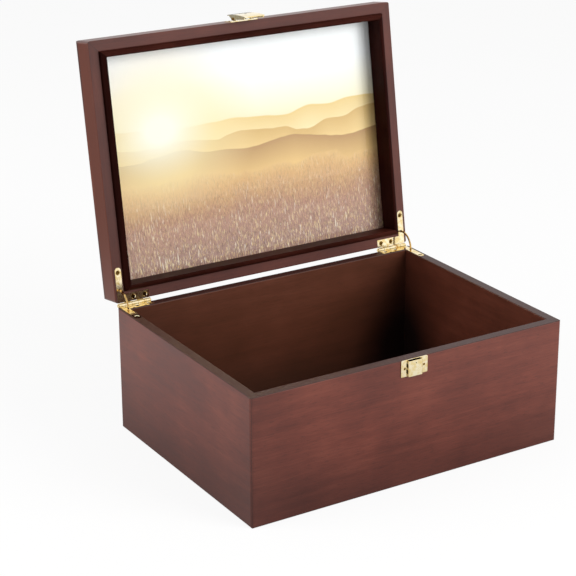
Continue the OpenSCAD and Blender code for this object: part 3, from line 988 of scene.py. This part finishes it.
@dataclass
class LeafGarland:
    """A plain oval garland of leaves in pale bare wood on the lid's top board.

    Sizes are millimetres. Each ring gives its half width, half depth, number of leaves, leaf length, leaf width
    and seed.
    """

    top_mm: float = 135.4
    proud_mm: float = 0.1
    thick_mm: float = 0.2
    stem_mm: float = 0.45
    spread_deg: float = 34.0
    stray: float = 0.22
    smallest: float = 0.78
    largest: float = 1.12
    fullest: float = 0.8
    weld_mm: float = 0.02
    rings: tuple[tuple[float, float, int, float, float, int], ...] = (
        (78.0, 60.0, 76, 15.0, 4.2, 4),
        (61.0, 45.0, 64, 11.5, 3.4, 9),
        (46.0, 32.0, 54, 8.5, 2.6, 15),
    )

    def build(self) -> None:
        """Makes the garland with Geometry Nodes and lays it on the lid."""
        holder = bpy.data.objects.new("lid_inlay", bpy.data.meshes.new("lid_inlay"))
        bpy.context.scene.collection.objects.link(holder)
        material = BARE_WOOD.material()
        tree, keys = self.ring_tree()
        for half_w, half_d, leaves, length, width, seed in self.rings:
            modifier = holder.modifiers.new("ring", "NODES")
            modifier.node_group = tree
            values = {
                "Half width": half_w * MM,
                "Half depth": half_d * MM,
                "Leaves": leaves,
                "Leaf length": length * MM,
                "Leaf width": width * MM,
                "Thickness": self.thick_mm * MM,
                "Spread": math.radians(self.spread_deg),
                "Stem width": self.stem_mm * MM,
                "Seed": seed,
                "Material": material,
            }
            for name, value in values.items():
                modifier[keys[name]] = value
        bpy.context.view_layer.update()
        grown = holder.evaluated_get(bpy.context.evaluated_depsgraph_get())
        mesh = bpy.data.meshes.new_from_object(grown)
        holder.modifiers.clear()
        raised = (self.top_mm + self.proud_mm - self.thick_mm / 2) * MM
        lay = (
            Matrix.Translation(HINGE)
            @ Matrix.Rotation(-LID_OPEN, 4, "X")
            @ Matrix.Translation(Vector((0.0, 0.0, raised)) - HINGE)
        )
        mesh.transform(lay)
        holder.data = mesh
        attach(holder, "lid")
        log.info("lid_inlay: %d faces", len(mesh.polygons))

    def ring_tree(self) -> tuple[NodeTree, dict[str, str]]:
        """Builds the tree of one ring of leaves on an oval stem.

        Returns:
            The tree, and each input's identifier by its name.
        """
        tree = bpy.data.node_groups.new("ring of leaves", "GeometryNodeTree")
        keys = {}
        kinds = {"Geometry": "Geometry", "Leaves": "Int", "Seed": "Int", "Material": "Material"}
        for name in (
            *("Geometry", "Half width", "Half depth", "Leaves", "Leaf length", "Leaf width"),
            *("Thickness", "Spread", "Stem width", "Seed", "Material"),
        ):
            kind = "NodeSocket" + kinds.get(name, "Float")
            keys[name] = tree.interface.new_socket(name, in_out="INPUT", socket_type=kind).identifier
        tree.interface.new_socket("Geometry", in_out="OUTPUT", socket_type="NodeSocketGeometry")
        given = add_node(tree, "NodeGroupInput").outputs
        leaf = self.leaf(tree, given)
        circle = add_node(tree, "GeometryNodeCurvePrimitiveCircle", {"Resolution": 96, "Radius": 1.0})
        shape = add_node(
            tree, "ShaderNodeCombineXYZ", {0: given["Half width"], 1: given["Half depth"], 2: 1.0}
        )
        oval = add_node(tree, "GeometryNodeTransform", {"Geometry": circle, "Scale": shape})
        points = add_node(
            tree, "GeometryNodeCurveToPoints", {"Curve": oval, "Count": given["Leaves"]}, mode="COUNT"
        )
        tangent = points.outputs["Tangent"]
        ahead, aside, _ = add_node(tree, "ShaderNodeSeparateXYZ", {"Vector": tangent}).outputs
        heading = add_node(tree, "ShaderNodeMath", {0: aside, 1: ahead}, operation="ARCTAN2")
        index = add_node(tree, "GeometryNodeInputIndex")
        odd = add_node(tree, "ShaderNodeMath", {0: index, 1: 2.0}, operation="MODULO")
        side = add_node(tree, "ShaderNodeMath", {0: odd, 1: 2.0, 2: -1.0}, operation="MULTIPLY_ADD")
        lean = add_node(tree, "ShaderNodeMath", {0: side, 1: given["Spread"]}, operation="MULTIPLY")
        stray = add_node(
            tree,
            "FunctionNodeRandomValue",
            {"Min": -self.stray, "Max": self.stray, "Seed": given["Seed"]},
            data_type="FLOAT",
        )
        loose = add_node(tree, "ShaderNodeMath", {0: lean, 1: stray}, operation="ADD")
        angle = add_node(tree, "ShaderNodeMath", {0: heading, 1: loose}, operation="ADD")
        turn = add_node(tree, "ShaderNodeCombineXYZ", {2: angle})
        size = add_node(
            tree,
            "FunctionNodeRandomValue",
            {"Min": self.smallest, "Max": self.largest, "Seed": given["Seed"]},
            data_type="FLOAT",
        )
        planted = add_node(
            tree,
            "GeometryNodeInstanceOnPoints",
            {"Points": points, "Instance": leaf, "Rotation": turn, "Scale": size},
        )
        real = add_node(tree, "GeometryNodeRealizeInstances", {"Geometry": planted})
        profile = add_node(
            tree,
            "GeometryNodeCurvePrimitiveQuadrilateral",
            {"Width": given["Stem width"], "Height": given["Thickness"]},
        )
        stem = add_node(tree, "GeometryNodeCurveToMesh", {"Curve": oval, "Profile Curve": profile})
        joined = add_node(tree, "GeometryNodeJoinGeometry", {"Geometry": real})
        tree.links.new(stem.outputs[0], joined.inputs[0])
        finished = add_node(
            tree, "GeometryNodeSetMaterial", {"Geometry": joined, "Material": given["Material"]}
        )
        both = add_node(tree, "GeometryNodeJoinGeometry", {"Geometry": finished})
        tree.links.new(given["Geometry"], both.inputs[0])
        add_node(tree, "NodeGroupOutput", {"Geometry": both})
        return tree, keys

    def leaf(self, tree: NodeTree, given: NodeOutputs) -> Node:
        """Shapes one pointed leaf from a thin block, with its foot at the origin.

        Args:
            tree: The ring's tree.
            given: The tree's inputs.

        Returns:
            The node of the closed leaf.
        """
        size = add_node(
            tree,
            "ShaderNodeCombineXYZ",
            {0: given["Leaf length"], 1: given["Leaf width"], 2: given["Thickness"]},
        )
        block = add_node(
            tree, "GeometryNodeMeshCube", {"Size": size, "Vertices X": 9, "Vertices Y": 3, "Vertices Z": 2}
        )
        place = add_node(tree, "GeometryNodeInputPosition")
        x, y, z = add_node(tree, "ShaderNodeSeparateXYZ", {"Vector": place}).outputs
        share = add_node(tree, "ShaderNodeMath", {0: x, 1: given["Leaf length"]}, operation="DIVIDE")
        along = add_node(tree, "ShaderNodeMath", {0: share, 1: 0.5}, operation="ADD", use_clamp=True)
        bent = add_node(tree, "ShaderNodeMath", {0: along, 1: self.fullest}, operation="POWER")
        half_turn = add_node(tree, "ShaderNodeMath", {0: bent, 1: math.pi}, operation="MULTIPLY")
        belly = add_node(tree, "ShaderNodeMath", {0: half_turn}, operation="SINE")
        wide = add_node(tree, "ShaderNodeMath", {0: y, 1: belly}, operation="MULTIPLY")
        bow = add_node(tree, "ShaderNodeMath", {0: along, 1: along}, operation="MULTIPLY")
        bend = add_node(tree, "ShaderNodeMath", {0: given["Leaf width"], 1: 0.5}, operation="MULTIPLY")
        curved = add_node(tree, "ShaderNodeMath", {0: bow, 1: bend, 2: wide}, operation="MULTIPLY_ADD")
        from_foot = add_node(
            tree, "ShaderNodeMath", {0: along, 1: given["Leaf length"]}, operation="MULTIPLY"
        )
        spot = add_node(tree, "ShaderNodeCombineXYZ", {0: from_foot, 1: curved, 2: z})
        shaped = add_node(tree, "GeometryNodeSetPosition", {"Geometry": block, "Position": spot})
        return add_node(
            tree, "GeometryNodeMergeByDistance", {"Geometry": shaped, "Distance": self.weld_mm * MM}
        )


@dataclass
class QuadrantHinges:
    """The pair of brass quadrant hinges with their stays, pins and screws.

    The stays are a duller gold than the leaves, and the sunk screws' dark brown is painted shade.
    """

    def dress(self) -> None:
        """Plates the leaves, stays, pins and screws."""
        dress(
            ("hinge_body_leaf_l", "hinge_body_leaf_r", "hinge_lid_leaf_l", "hinge_lid_leaf_r"),
            PlatedBrass("plated brass leaves"),
        )
        dress(
            ("stay_l", "stay_r"),
            PlatedBrass("plated brass stays", bright="#DDB873", dull="#B48B49"),
        )
        dress(
            ("hinge_pin_l", "hinge_pin_r"),
            PlatedBrass("plated brass pins", bright="#F6E0A8", dull="#D8B468"),
        )
        # The screws' dark brown is painted shade of their sunk heads.
        dress(
            ("hinge_body_screws", "hinge_lid_screws"),
            PlatedBrass("plated brass screws", bright="#8F6B31", dull="#5A3F14", cloud_mm=1.5),
        )


@dataclass
class SprungCatch:
    """The brass catch at the front: keeper, base plate, flap, pin, spring and nails."""

    def dress(self) -> None:
        """Plates the sheet metal, pin and nails, and leaves the spring steel."""
        # The wider crevice reach paints more shade into the sheet's folds.
        dress(
            ("catch_keeper", "catch_base", "catch_flap"),
            PlatedBrass("plated brass sheet", bright="#FFF2CE", dull="#F3DB9C", crevice_mm=2.4),
        )
        # The pin's and nails' darker brown is painted shade.
        dress(
            ("catch_pin", "keeper_nails", "catch_nails"),
            PlatedBrass("plated brass nails", bright="#A5803F", dull="#6B4C1B", cloud_mm=1.5),
        )
        dress(("catch_spring",), SPRING_WIRE)


def seen(tree: NodeTree) -> Node:
    """Tells the rays from the camera, or by way of gloss or glass, from others.

    Args:
        tree: The node tree that gets it.

    Returns:
        A node that gives 1 for them and 0 for others.
    """
    path = add_node(tree, "ShaderNodeLightPath").outputs
    either = add_node(
        tree, "ShaderNodeMath", {0: path["Is Camera Ray"], 1: path["Is Glossy Ray"]}, operation="MAXIMUM"
    )
    return add_node(tree, "ShaderNodeMath", {0: either, 1: path["Is Transmission Ray"]}, operation="MAXIMUM")


@dataclass(frozen=True)
class PaperFloor(Finish):
    """Matt white paper, lit to white where the camera sees it.

    The eye gets pure white with a faint shadow. Gloss and glass see a painted pool of light about its own
    middle, which dims beyond it, and a painted shadow near the box.
    """

    name: str = "white paper floor"
    pool_at_m: tuple[float, float] = (0.8, -1.2)
    pool_m: tuple[float, float] = (1.84, 2.08)
    dim: float = 0.25
    near_m: tuple[float, float] = (0.15, 0.42)
    near: float = 0.35
    whiteness: float = 0.88

    def shader(self, tree: NodeTree) -> Node:
        """Draws the patterns and shades them.

        Args:
            tree: The material's node tree.

        Returns:
            The shader's node.
        """
        here = add_node(tree, "ShaderNodeTexCoord").outputs["Object"]
        cloud = add_node(tree, "ShaderNodeTexNoise", {"Vector": here, "Scale": 2.0})
        tint = add_node(
            tree, "ShaderNodeValToRGB", {"Fac": cloud}, stops=((0.3, "#FAFAF9"), (0.7, "#FDFDFD"))
        )
        paper = add_node(tree, "ShaderNodeBsdfDiffuse", {"Color": tint})
        grey = add_node(tree, "ShaderNodeBsdfDiffuse", {"Color": linear("#CFCFCE")})
        # Painted shadow of the box on the floor near it, seen only by gloss and glass.
        away = add_node(tree, "ShaderNodeVectorMath", {0: here}, operation="LENGTH")
        shade = add_node(
            tree,
            "ShaderNodeMapRange",
            {"Value": away, "From Min": self.near_m[0], "From Max": self.near_m[1], "To Min": self.near},
        )
        # Painted pool of light about pool_at_m, seen only by gloss and glass.
        from_pool = add_node(
            tree, "ShaderNodeVectorMath", {0: here, 1: (*self.pool_at_m, 0.0)}, operation="DISTANCE"
        )
        inner, outer = self.pool_m
        pool = add_node(
            tree,
            "ShaderNodeMapRange",
            {"Value": from_pool, "From Min": inner, "From Max": outer, "To Min": 1.0, "To Max": self.dim},
            interpolation_type="SMOOTHSTEP",
        )
        path = add_node(tree, "ShaderNodeLightPath").outputs
        both_dim = add_node(tree, "ShaderNodeMath", {0: pool, 1: shade}, operation="MULTIPLY")
        glow = add_node(tree, "ShaderNodeMath", {0: both_dim, 1: path["Is Camera Ray"]}, operation="MAXIMUM")
        white = add_node(tree, "ShaderNodeEmission", {"Color": WHITE, "Strength": glow})
        ground_shown = add_node(tree, "ShaderNodeMixShader", {0: self.whiteness, 1: paper, 2: white})
        return add_node(tree, "ShaderNodeMixShader", {0: seen(tree), 1: grey, 2: ground_shown})


@dataclass
class Studio:
    """White room with a pale floor, soft lamps, and the photograph's camera.

    Each lamp has its place, width and power, and whether gloss mirrors it.
    """

    camera_m: tuple[float, float, float] = (-0.78211, -1.19887, 0.67448)
    camera_deg: tuple[float, float, float] = (69.699, -0.19, -32.614)
    lens_mm: float = 114.577
    shift: tuple[float, float] = (-0.064, -0.0228)
    clip_m: tuple[float, float] = (0.05, 50.0)
    floor_m: float = 9.0
    room: float = 0.46
    lamps: tuple[tuple[tuple[float, float, float], float, float, bool], ...] = (
        ((1.0, -1.75, 0.95), 1.5, 30.0, False),
        ((1.0, -1.75, 0.95), 1.5, 17.0, True),
        ((-1.9, 0.5, 0.9), 1.5, 28.0, True),
    )
    aim_m: tuple[float, float, float] = (0.0, 0.0, 0.15)

    def build(self) -> None:
        """Makes the camera, the room's light, the lamps and the floor."""
        self.camera()
        self.light()
        self.floor()

    def camera(self) -> None:
        """Makes the camera that was fitted to the photograph."""
        lens = bpy.data.cameras.new("camera")
        lens.lens = self.lens_mm
        lens.shift_x, lens.shift_y = self.shift
        lens.clip_start, lens.clip_end = self.clip_m
        eye = bpy.data.objects.new("camera", lens)
        eye.location = self.camera_m
        eye.rotation_euler = [math.radians(a) for a in self.camera_deg]
        bpy.context.scene.collection.objects.link(eye)
        bpy.context.scene.camera = eye

    def light(self) -> None:
        """Lights the scene with a white room and soft lamps."""
        scene = bpy.context.scene
        scene.view_settings.view_transform = "Standard"
        scene.world = bpy.data.worlds.new("white room")
        scene.world.use_nodes = True
        tree = scene.world.node_tree
        tree.nodes.clear()
        lit = add_node(tree, "ShaderNodeBackground", {"Color": WHITE, "Strength": self.room})
        shown = add_node(tree, "ShaderNodeBackground", {"Color": WHITE, "Strength": 1.0})
        both = add_node(tree, "ShaderNodeMixShader", {0: seen(tree), 1: lit, 2: shown})
        add_node(tree, "ShaderNodeOutputWorld", {"Surface": both})
        for place, width, power, mirrored in self.lamps:
            lamp = bpy.data.lights.new("soft lamp", "AREA")
            lamp.shape, lamp.size, lamp.energy = "DISK", width, power
            stand = bpy.data.objects.new("soft lamp", lamp)
            stand.visible_glossy = mirrored
            stand.location = place
            toward = Vector(self.aim_m) - Vector(place)
            stand.rotation_euler = toward.to_track_quat("-Z", "Y").to_euler()
            scene.collection.objects.link(stand)

    def floor(self) -> None:
        """Lays a pale floor that keeps the box's shadow."""
        half = self.floor_m / 2
        mesh = bpy.data.meshes.new("floor")
        corners = [(-half, -half, 0.0), (half, -half, 0.0), (half, half, 0.0), (-half, half, 0.0)]
        mesh.from_pydata(corners, [], [(0, 1, 2, 3)])
        ground = bpy.data.objects.new("floor", mesh)
        bpy.context.scene.collection.objects.link(ground)
        mesh.materials.append(PaperFloor().material())


def main() -> None:
    """Builds the studio and dresses each sub-assembly in turn."""
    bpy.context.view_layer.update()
    Studio().build()
    BoxBody().dress()
    FramedLid().dress()
    LeafGarland().build()
    QuadrantHinges().dress()
    SprungCatch().dress()


if __name__ == "__main__":
    main()
